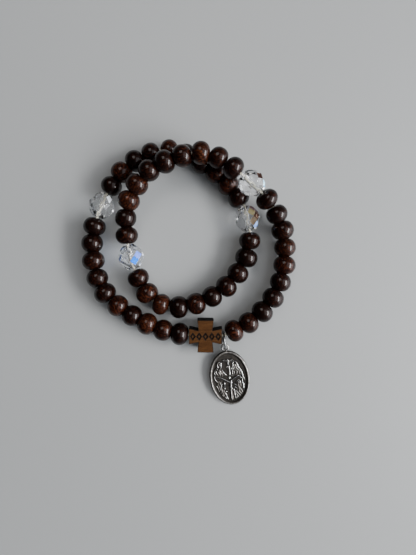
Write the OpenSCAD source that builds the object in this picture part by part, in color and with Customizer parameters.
// Rosary bracelet: one closed elastic string wound twice round the wrist and laid on a table.
// All sizes are in millimetres and all angles in degrees.

/* [Wood beads] */
// Widest diameter of a wood bead
bead_d = 8.4; // [7.5:0.1:9.5]
// Length of a wood bead along its hole
bead_l = 6; // [5.5:0.05:7.2]
// Diameter of the hole through a wood bead
bead_hole_d = 1.5; // [1.3:0.1:2]
// Share of its diameter that the smallest wood bead lacks
bead_vary = 0.06; // [0:0.005:0.08]
// Number of wood beads in each of the five groups
group_beads = 10; // [8:1:12]

/* [Glass beads] */
// Widest diameter of a glass bead
glass_d = 9.5; // [8.5:0.1:11]
// Length of a glass bead along its hole
glass_l = 8.9; // [8:0.1:10]
// Diameter of the hole through a glass bead
glass_hole_d = 1.4; // [1.3:0.1:2]
// Number of flat facets round the middle of a glass bead
glass_sides = 8; // [7:1:10]

/* [Thread] */
// Diameter of the elastic thread
thread_d = 0.8; // [0.6:0.05:1]
// Clear space between neighbours on the string, where they come closest
bead_gap = 0.2; // [0.1:0.02:0.4]

/* [Cross] */
// Width of the cross along its hole
cross_w = 12; // [10:0.1:16]
// Height of the cross
cross_h = 12.1; // [10:0.1:16]
// Thickness of the cross
cross_t = 4.2; // [3:0.2:6]
// Width of an arm where it ends
arm_end_w = 5.9; // [5:0.1:7]
// Width of the side arms where they meet the middle
arm_neck_w = 4.4; // [3.8:0.1:5.2]
// Width of the upper and lower arm where they meet the middle
stem_neck_w = 5.1; // [4.4:0.1:5.6]
// Diameter of the hole through the cross
cross_hole_d = 1.5; // [1.3:0.1:2]
// How far the cross leans back on the thread
cross_lean = 9; // [0:0.5:12]
// Number of burnt lozenges across the face
lozenges = 5; // [3:1:5]
// Width of a burnt lozenge on the face
lozenge_w = 1.9; // [1:0.1:2.1]
// Height of a burnt lozenge on the face
lozenge_h = 2.7; // [1.5:0.1:3.2]
// Width of the burnt line of a lozenge
burn_w = 0.4; // [0.3:0.05:0.6]
// Depth of the burnt lines
burn_depth = 0.25; // [0.1:0.05:0.5]

/* [Jump ring] */
// Outer diameter of the jump ring
ring_d = 6.8; // [5.6:0.1:8]
// Thickness of the jump ring's wire
ring_wire_d = 0.7; // [0.5:0.05:1]
// Width of the cut where the ring was closed
ring_cut = 0.12; // [0.05:0.01:0.3]
// Clear space between the ring and what it hangs on or beside
ring_clear = 0.14; // [0.1:0.01:0.3]
// Angle between the ring and the end of the cross
ring_turn = 6; // [0:1:10]

/* [Medal] */
// Width of the oval medal
medal_w = 15; // [12:0.1:18]
// Height of the oval medal without its eyelet
medal_h = 20.6; // [17:0.2:24]
// Thickness of the medal at its rim
medal_t = 1.8; // [1.4:0.1:2.4]
// Width of the raised rim with its inner slope
rim_w = 1.4; // [1:0.1:2]
// Depth of the field below the rim
field_drop = 0.75; // [0.4:0.05:0.9]
// Height of the figures above the field
relief_h = 0.65; // [0.3:0.05:0.8]
// Outer diameter of the eyelet
eyelet_d = 3.1; // [3:0.1:4]
// Diameter of the hole in the eyelet
eyelet_hole_d = 1.6; // [1.4:0.1:2]
// How far the medal turns to the left of straight down
medal_turn = 9; // [0:1:12]
// How far the ring lifts the medal's upper end off the table
medal_lean = 4; // [2:0.5:7]

/* [Hidden] */

$fn = 48;

// Route of the string on the table, from the cross to the left and twice round.
// Columns: x, y, and how far the string is lifted there by the strand below, in bead diameters.
route = [
    [6.2, -21.1, 0], [0, -21, 0], [-9, -19.5, 0], [-20.5, -14, 0], [-30, -6.3, 0], [-32.4, -0.5, 0],
    [-34.5, 11.7, 0], [-30.6, 25.6, 0], [-23, 38, 0], [-13, 43.7, 0], [-5.5, 44.8, 0],
    [1.7, 41.9, 0], [10.6, 36.1, 0], [18.7, 26.8, 0], [21.4, 20, 0], [21.8, 12.8, 0], [20.7, 6, 0],
    [13.6, -4, 0], [3, -10, 0], [-3.5, -11.2, 0], [-9.6, -10.7, 0], [-14.4, -7, 0],
    [-20.5, 6, 0], [-22, 20, 0.2], [-20.8, 26.3, 0.42], [-13.3, 36.3, 0.79], [-1.8, 40.2, 1],
    [4, 41.9, 1], [9.7, 40.3, 0.98], [21.3, 31.7, 0.9], [31, 21.8, 0.36], [34.5, 9.5, 0],
    [32.6, -3, 0], [26, -13.3, 0], [15.8, -20, 0], [12.4, -21, 0]
];
route_steps = 12;

// Rows of a glass bead's corners, as shares of its half length
facet_rows = [0, 0.36, 0.75, 1];

// Corners of a glass bead: each row is turned half a step, and its radius makes the facets flat
step_cos = cos(180 / glass_sides);
facet_r0 = glass_d / 2;
facet_r1 = facet_r0 * step_cos;
facet_r2 = facet_r0 + (facet_r1 * step_cos - facet_r0) * facet_rows[2] / facet_rows[1];
glass_table_r = facet_r1 + (facet_r2 * step_cos - facet_r1)
    * (facet_rows[3] - facet_rows[1]) / (facet_rows[2] - facet_rows[1]);
facet_radii = [facet_r0, facet_r1, facet_r2, glass_table_r];

// Kinds of item on the string
CROSS = 0;
WOOD = 1;
GLASS = 2;
RING = 3;

group = [for (i = [1:group_beads]) WOOD];
items = concat([CROSS], group, [GLASS], group, [GLASS], group, [GLASS], group, [GLASS], group, [RING]);
item_count = len(items);

// Half of each kind's length, and how far its end edge stands from the thread
half_length = [cross_w / 2, bead_l / 2, glass_l / 2, ring_wire_d / 2 + ring_clear];
end_radius = [arm_end_w / 4, (bead_d - bead_l) / 2, 2 / 3 * glass_table_r, 0];
// Height of the thread above the table under each kind
rest_height = [bead_d / 2, bead_d / 2, glass_d / 2, bead_d / 2];

// Steps of size that make the wood beads differ, as shares of bead_vary; lengths differ less
length_vary = bead_vary / 3;
diameter_steps = [0, 0.7, 0.2, 1, 0.4, 0.1, 0.8];
length_steps = [0.3, 0, 0.8, 0.1, 1, 0.5, 0.2, 0.6, 0.4];

function running(list) = [for (i = 0, s = 0; i <= len(list); s = s + (i < len(list) ? list[i] : 0), i = i + 1) s];
function unit(v) = v / norm(v);
function wrap(s, length) = s < 0 ? s + length : s >= length ? s - length : s;
function bend(a, b) = acos(min(1, unit(a) * unit(b)));

// Smooth closed curve through the route's points
function route_point(i, t) =
    let (n = len(route),
         a = raw(route[(i + n - 1) % n]), b = raw(route[i]),
         c = raw(route[(i + 1) % n]), d = raw(route[(i + 2) % n]))
    (2 * b + (c - a) * t + (2 * a - 5 * b + 4 * c - d) * t * t
        + (3 * b - a - 3 * c + d) * t * t * t) / 2;
function raw(p) = [p.x, p.y, p.z * bead_d];
curve = [for (i = [0:len(route) - 1]) for (j = [0:route_steps - 1]) route_point(i, j / route_steps)];
curve_n = len(curve);
curve_at = running([for (i = [0:curve_n - 1]) norm(curve[(i + 1) % curve_n] - curve[i])]);
curve_length = curve_at[curve_n];
curve_x = [for (i = [0:curve_n]) [curve_at[i], curve[i % curve_n].x]];
curve_y = [for (i = [0:curve_n]) [curve_at[i], curve[i % curve_n].y]];
curve_z = [for (i = [0:curve_n]) [curve_at[i], curve[i % curve_n].z]];

// Joints between the items, where the thread passes from one to the next.
// The string closes because the route is stretched to the string's own length.
function joints(starts, length) =
    let (k = length / curve_length)
    [for (i = [0:item_count - 1])
        let (s = wrap((starts[i] - half_length[CROSS]) / k, curve_length),
             kind = items[i], before = items[(i + item_count - 1) % item_count])
        [lookup(s, curve_x) * k, lookup(s, curve_y) * k,
         max(lookup(s, curve_z), 0) + max(rest_height[kind], rest_height[before])]];
function bends(p) =
    [for (i = [0:item_count - 1])
        bend(p[i] - p[(i + item_count - 1) % item_count], p[(i + 1) % item_count] - p[i])];
// Where the string bends, the end faces stand apart by as much as their edges need
function reach(kind, angle) =
    (half_length[kind] + end_radius[kind] * sin(angle / 2) + bead_gap / 2) / cos(angle / 2);

// The bends set the items' places, and the places set the bends, so both are worked out in turn
function leads(angles) = [for (i = [0:item_count - 1]) reach(items[i], angles[i])];
function trails(angles) = [for (i = [0:item_count - 1]) reach(items[i], angles[(i + 1) % item_count])];
function stations_at(angles) = running(leads(angles) + trails(angles));
function bends_at(starts) = bends(joints(starts, starts[item_count]));

straight = running([for (kind = items) 2 * half_length[kind] + bead_gap]);
rough = stations_at(bends_at(straight));
closer = stations_at(bends_at(rough));
angle_at = bends_at(closer);
lead = leads(angle_at);
trail = trails(angle_at);
stations = running(lead + trail);
string_length = stations[item_count];
joint = joints(stations, string_length);

function next_joint(i) = joint[(i + 1) % item_count];
function axis_of(i) = unit(next_joint(i) - joint[i]);
function centre_of(i) = joint[i] + (next_joint(i) - joint[i]) * lead[i] / (lead[i] + trail[i]);
wood_at = [for (i = [0:item_count - 1]) if (items[i] == WOOD) i];
glass_at = [for (i = [0:item_count - 1]) if (items[i] == GLASS) i];
ring_at = item_count - 1;

// Jump ring: flat beside the end of the cross, it stands on the table and goes round the thread
ring_r = (ring_d - ring_wire_d) / 2;
thread_at_ring = centre_of(ring_at);
ring_angle = atan2(axis_of(0).y, axis_of(0).x) + ring_turn;
ring_axis = [cos(ring_angle), sin(ring_angle), 0];
ring_out = [-ring_axis.y, ring_axis.x, 0];
table_clear = 0.05;
ring_z = ring_d / 2 + table_clear;
ring_reach = ring_r - ring_wire_d / 2 - thread_d / 2 - ring_clear;
ring_shift = sqrt(max(0, ring_reach ^ 2 - (thread_at_ring.z - ring_z) ^ 2));
ring_centre = [thread_at_ring.x, thread_at_ring.y, ring_z] + ring_shift * ring_out;

// Medal: its eyelet hangs on the ring and its lower end rests on the table
eyelet_wire = (eyelet_d - eyelet_hole_d) / 2;
eyelet_y = medal_h / 2 + eyelet_d / 2 - eyelet_wire / 4;
eyelet_z = (medal_h / 2 + eyelet_y) * sin(medal_lean) + medal_t / 2;
eyelet_drop = (ring_z - eyelet_z) / ring_r;
eyelet_centre = [ring_centre.x, ring_centre.y, eyelet_z]
    + ring_r * sqrt(1 - eyelet_drop ^ 2) * ring_out;
medal_low = sqrt((medal_w / 2 * sin(medal_turn)) ^ 2 + (medal_h / 2 * cos(medal_turn)) ^ 2);

// The origin is the middle of the whole outline, on the table
function wide(i, d) = bead_l / 2 + (bead_d - bead_l) / 2 * sqrt(1 - axis_of(i)[d] ^ 2);
low_x = min([for (i = wood_at) centre_of(i).x - wide(i, 0)]);
high_x = max([for (i = wood_at) centre_of(i).x + wide(i, 0)]);
high_y = max([for (i = wood_at) centre_of(i).y + wide(i, 1)]);
low_y = eyelet_centre.y - eyelet_y * cos(medal_turn) * cos(medal_lean) - medal_low;
home = [-(low_x + high_x) / 2, -(low_y + high_y) / 2, 0];

module on_string(i) {
    v = axis_of(i);
    translate(home + centre_of(i)) rotate([0, acos(v.z), atan2(v.y, v.x)]) children();
}

module wood_bead(d, l) {
    difference() {
        rotate_extrude() intersection() {
            union() {
                translate([(d - l) / 2, 0]) circle(d = l);
                translate([0, -l / 2]) square([(d - l) / 2, l]);
            }
            translate([0, -l]) square([d, 2 * l]);
        }
        cylinder(d = bead_hole_d, h = 2 * l, center = true);
    }
}

module wood_beads() {
    color("#4a1f14")
    for (i = [0:len(wood_at) - 1])
        on_string(wood_at[i])
            wood_bead(bead_d * (1 - bead_vary * diameter_steps[i % len(diameter_steps)]),
                      bead_l * (1 - length_vary * length_steps[i % len(length_steps)]));
}

// One row of corners for each of -3 to 3 along the hole
module glass_body() {
    n = glass_sides;
    corners = [for (row = [-3:3]) for (i = [0:n - 1])
        let (a = 360 / n * (i + (row % 2 == 0 ? 0.5 : 0)), r = facet_radii[abs(row)])
        [r * cos(a), r * sin(a), sign(row) * facet_rows[abs(row)] * glass_l / 2]];
    function corner(row, i) = (row + 3) * n + (i + n) % n;
    // A corner of the next row lies half a step on from corner i of an even row
    function beside(row, i) = row % 2 == 0 ? i + 1 : i;
    faces = concat(
        [for (row = [-2:2]) for (i = [0:n - 1])
            [corner(row, i), corner(row + 1, beside(row, i)), corner(row, i + 1),
             corner(row - 1, beside(row, i))]],
        [for (i = [0:n - 1]) [corner(2, i), corner(3, i), corner(3, i + 1)]],
        [for (i = [0:n - 1]) [corner(-2, i), corner(-3, i + 1), corner(-3, i)]],
        [[for (i = [0:n - 1]) corner(3, n - 1 - i)]],
        [[for (i = [0:n - 1]) corner(-3, i)]]
    );
    polyhedron(points = corners, faces = faces, convexity = 4);
}

module glass_bead(number) {
    color("#dfe8f0", 0.6)
    on_string(glass_at[number - 1]) difference() {
        glass_body();
        cylinder(d = glass_hole_d, h = 2 * glass_l, center = true);
    }
}

module lozenge(w, h) {
    polygon([[w / 2, 0], [0, h / 2], [-w / 2, 0], [0, -h / 2]]);
}

module cross_outline() {
    w = cross_w / 2;
    h = cross_h / 2;
    e = arm_end_w / 2;
    x = stem_neck_w / 2;
    y = arm_neck_w / 2;
    polygon([[w, -e], [w, e], [x, y], [e, h], [-e, h], [-x, y],
             [-w, e], [-w, -e], [-x, -y], [-e, -h], [e, -h], [x, -y]]);
}

// Open lozenges in a row, with a little more than half a space left at each end
module burnt_row() {
    pitch = cross_w / (lozenges + 0.2);
    for (i = [0:lozenges - 1]) translate([(i - (lozenges - 1) / 2) * pitch, 0]) difference() {
        lozenge(lozenge_w, lozenge_h);
        lozenge(lozenge_w - 2 * burn_w, lozenge_h - 2 * burn_w * lozenge_h / lozenge_w);
    }
}

module cross_bead() {
    v = axis_of(0);
    color("#8a5526")
    translate(home + centre_of(0))
        rotate([0, 0, atan2(-v.y, -v.x)])
        rotate([0, -asin(-v.z), 0])
        rotate([cross_lean, 0, 0])
        difference() {
            translate([0, 0, -cross_t / 2]) linear_extrude(cross_t) cross_outline();
            rotate([0, 90, 0]) cylinder(d = cross_hole_d, h = 2 * cross_w, center = true);
            translate([0, 0, cross_t / 2 - burn_depth]) linear_extrude(burn_depth + 1) burnt_row();
        }
}

module jump_ring() {
    cut_angle = 360 * ring_cut / (2 * PI * ring_r);
    color("#b9bcc0")
    translate(home + ring_centre)
        rotate([0, 90, ring_angle])
        rotate_extrude(angle = 360 - cut_angle) translate([ring_r, 0]) circle(d = ring_wire_d);
}

// Thread: one ring of corners at each joint
thread_sides = 8;
module thread() {
    rings = [for (i = [0:item_count - 1])
        let (v = unit(axis_of((i + item_count - 1) % item_count) + axis_of(i)),
             side = unit(cross(v, [0, 0, 1])), up = cross(side, v))
        for (j = [0:thread_sides - 1])
            let (a = 360 / thread_sides * (j + 0.5))
            home + joint[i] + thread_d / 2 * (side * cos(a) + up * sin(a))];
    function corner(i, j) = (i % item_count) * thread_sides + j % thread_sides;
    faces = [for (i = [0:item_count - 1]) for (j = [0:thread_sides - 1])
        for (f = [[corner(i, j), corner(i + 1, j), corner(i + 1, j + 1)],
                  [corner(i, j), corner(i + 1, j + 1), corner(i, j + 1)]]) f];
    color("#e9e4d6") polyhedron(points = rings, faces = faces, convexity = 10);
}

// Section of the rim from the back to the front.
// Columns: inset in rim widths, height in thicknesses.
rim_section = [[0.22, 0], [0.06, 0.1], [0, 0.45], [0.05, 0.88], [0.2, 1], [0.48, 0.98]];

// Grid of the field: its border is the rim's inner foot
relief_cols = 40;
relief_rows = 54;
border_n = 2 * (relief_cols + relief_rows);
function disc(u, v) = [u * sqrt(1 - v * v / 2), v * sqrt(1 - u * u / 2)];
function grid_disc(i, j) = disc(2 * i / relief_cols - 1, 2 * j / relief_rows - 1);
function border(m) =
    m < relief_cols ? [m, 0]
    : m < relief_cols + relief_rows ? [relief_cols, m - relief_cols]
    : m < 2 * relief_cols + relief_rows ? [2 * relief_cols + relief_rows - m, relief_rows]
    : [0, border_n - m];

// Figures on the medal, as tapered round strokes.
// Columns: x, y and radius of one end, x, y and radius of the other, height.
// Shares: x and radius of the field's half width, y of its half height, height of relief_h.
strokes = [
    // Bird with spread wings at the top
    [0.06, 0.82, 0.06, 0.02, 0.64, 0.10, 0.9], [0.04, 0.72, 0.05, -0.26, 0.80, 0.05, 0.6],
    [0.06, 0.72, 0.05, 0.30, 0.80, 0.05, 0.6], [-0.10, 0.74, 0.04, -0.2, 0.7, 0.03, 0.5],
    [0.16, 0.74, 0.04, 0.24, 0.7, 0.03, 0.5],
    // Cross with its plate, behind the middle figure
    [-0.12, 0.54, 0.06, 0.12, 0.53, 0.06, 0.7], [0.04, 0.52, 0.08, 0.05, 0.08, 0.08, 0.5],
    [-0.78, 0.13, 0.06, -0.05, 0.06, 0.07, 0.4], [0.1, 0.08, 0.07, 0.62, 0.14, 0.06, 0.4],
    // Middle figure: head, arms, body, cloth and legs
    [-0.01, 0.02, 0.10, 0.0, -0.03, 0.08, 1], [-0.03, -0.12, 0.07, -0.42, -0.01, 0.055, 0.75],
    [-0.42, -0.01, 0.055, -0.78, 0.10, 0.04, 0.65], [0.08, -0.11, 0.07, 0.3, -0.02, 0.055, 0.75],
    [0.3, -0.02, 0.055, 0.56, 0.09, 0.04, 0.65], [0.03, -0.13, 0.13, 0.04, -0.32, 0.10, 0.85],
    [-0.03, -0.37, 0.10, 0.11, -0.40, 0.11, 0.95], [0.02, -0.44, 0.08, 0.02, -0.70, 0.06, 0.8],
    [0.07, -0.44, 0.08, 0.05, -0.92, 0.05, 0.8],
    // Robed figure at the upper left, with hair and beard
    [-0.45, 0.70, 0.13, -0.46, 0.62, 0.11, 1], [-0.37, 0.70, 0.06, -0.42, 0.48, 0.06, 0.85],
    [-0.55, 0.66, 0.06, -0.58, 0.52, 0.05, 0.6], [-0.50, 0.46, 0.18, -0.6, 0.24, 0.22, 0.55],
    [-0.38, 0.42, 0.05, -0.22, 0.17, 0.05, 0.9], [-0.50, 0.46, 0.05, -0.42, 0.18, 0.05, 0.85],
    [-0.62, 0.48, 0.05, -0.62, 0.18, 0.05, 0.8], [-0.76, 0.42, 0.05, -0.78, 0.2, 0.04, 0.7],
    // Veiled figure at the upper right, its veil running down the side
    [0.47, 0.56, 0.12, 0.46, 0.49, 0.10, 1], [0.32, 0.68, 0.06, 0.56, 0.65, 0.07, 0.85],
    [0.56, 0.65, 0.07, 0.66, 0.42, 0.08, 0.95], [0.66, 0.42, 0.08, 0.82, 0.06, 0.07, 0.9],
    [0.82, 0.06, 0.07, 0.86, -0.2, 0.06, 0.8], [0.35, 0.45, 0.05, 0.31, 0.15, 0.05, 0.75],
    [0.46, 0.40, 0.14, 0.56, 0.2, 0.16, 0.5], [0.45, 0.40, 0.05, 0.46, 0.16, 0.04, 0.75],
    // Kneeling figure at the lower left
    [-0.9, 0.06, 0.05, -0.80, -0.16, 0.05, 0.7], [-0.66, -0.08, 0.11, -0.64, -0.13, 0.10, 0.85],
    [-0.52, -0.17, 0.06, -0.68, -0.48, 0.07, 0.85], [-0.78, -0.22, 0.10, -0.80, -0.42, 0.11, 0.55],
    [-0.34, -0.13, 0.05, -0.32, -0.28, 0.05, 0.7], [-0.41, -0.40, 0.10, -0.42, -0.45, 0.09, 0.9],
    // Robes at the lower left
    [-0.40, -0.52, 0.10, -0.36, -0.66, 0.12, 0.7], [-0.34, -0.68, 0.08, -0.34, -0.84, 0.09, 0.85],
    [-0.57, -0.61, 0.08, -0.56, -0.64, 0.08, 0.8], [-0.94, -0.28, 0.04, -0.82, -0.56, 0.05, 0.6],
    [-0.80, -0.58, 0.05, -0.52, -0.83, 0.06, 0.75], [-0.6, -0.72, 0.05, -0.36, -0.92, 0.05, 0.8],
    [-0.22, -0.78, 0.05, -0.2, -0.95, 0.05, 0.75],
    // Seated figure at the lower right, with its spread robe
    [0.55, -0.23, 0.11, 0.54, -0.28, 0.09, 1], [0.78, -0.28, 0.07, 0.80, -0.60, 0.08, 0.85],
    [0.44, -0.34, 0.10, 0.62, -0.50, 0.14, 0.55], [0.31, -0.33, 0.05, 0.68, -0.68, 0.05, 0.8],
    [0.16, -0.50, 0.05, 0.28, -0.95, 0.05, 0.8], [0.28, -0.56, 0.05, 0.45, -0.87, 0.05, 0.8],
    [0.44, -0.62, 0.05, 0.60, -0.82, 0.05, 0.75], [0.66, -0.36, 0.05, 0.74, -0.5, 0.05, 0.7]
];

field_w = medal_w / 2 - rim_w;
field_h = medal_h / 2 - rim_w;
field_z = medal_t / 2 - field_drop;
// Width of the band along the rim in which the figures run out
fade_w = 0.5;

// Height of one stroke at a point: round across, tapering from end to end
function stroke_height(p, s) =
    let (a = [s[0] * field_w, s[1] * field_h], b = [s[3] * field_w, s[4] * field_h],
         t = min(1, max(0, (p - a) * (b - a) / max(0.0001, (b - a) * (b - a)))),
         r = (s[2] + (s[5] - s[2]) * t) * field_w,
         d = norm(p - a - (b - a) * t) / r)
    d < 1 ? s[6] * sqrt(1 - d * d) : 0;
function relief_height(q) =
    let (p = [q.x * field_w, q.y * field_h], edge = (1 - norm(q)) * field_w / fade_w)
    relief_h * min(1, edge) * max([for (s = strokes) stroke_height(p, s)]);

module medal_body() {
    cells = relief_cols + 1;
    field_points = [for (j = [0:relief_rows]) for (i = [0:relief_cols])
        let (q = grid_disc(i, j)) [q.x * field_w, q.y * field_h, field_z + relief_height(q)]];
    rim_points = [for (s = rim_section) for (m = [0:border_n - 1])
        let (b = border(m), q = grid_disc(b[0], b[1]))
        [q.x * (medal_w / 2 - s[0] * rim_w), q.y * (medal_h / 2 - s[0] * rim_w),
         (s[1] - 0.5) * medal_t]];
    first = len(field_points);
    rows = len(rim_section);
    function rim(k, m) =
        k < rows ? first + k * border_n + m % border_n
        : border(m % border_n)[1] * cells + border(m % border_n)[0];
    function field(i, j) = j * cells + i;
    faces = concat(
        [for (j = [0:relief_rows - 1]) for (i = [0:relief_cols - 1])
            for (f = [[field(i, j), field(i, j + 1), field(i + 1, j + 1)],
                      [field(i, j), field(i + 1, j + 1), field(i + 1, j)]]) f],
        [for (k = [0:rows - 1]) for (m = [0:border_n - 1])
            for (f = [[rim(k, m), rim(k + 1, m), rim(k + 1, m + 1)],
                      [rim(k, m), rim(k + 1, m + 1), rim(k, m + 1)]]) f],
        [[for (m = [0:border_n - 1]) rim(0, m)]]
    );
    polyhedron(points = concat(field_points, rim_points), faces = faces, convexity = 8);
}

module eyelet() {
    rotate_extrude() translate([(eyelet_hole_d + eyelet_wire) / 2, 0]) circle(d = eyelet_wire);
}

module medal() {
    color("#8f8f92")
    translate(home + eyelet_centre)
        rotate([0, 0, medal_turn])
        rotate([medal_lean, 0, 0])
        translate([0, -eyelet_y, 0])
        union() {
            medal_body();
            translate([0, eyelet_y, 0]) eyelet();
            translate([0, medal_h / 2, 0]) sphere(d = 1.5 * eyelet_wire);
        }
}

wood_beads();
glass_bead(1);  // glass_bead_1
glass_bead(2);  // glass_bead_2
glass_bead(3);  // glass_bead_3
glass_bead(4);  // glass_bead_4
cross_bead();
jump_ring();
medal();
thread();
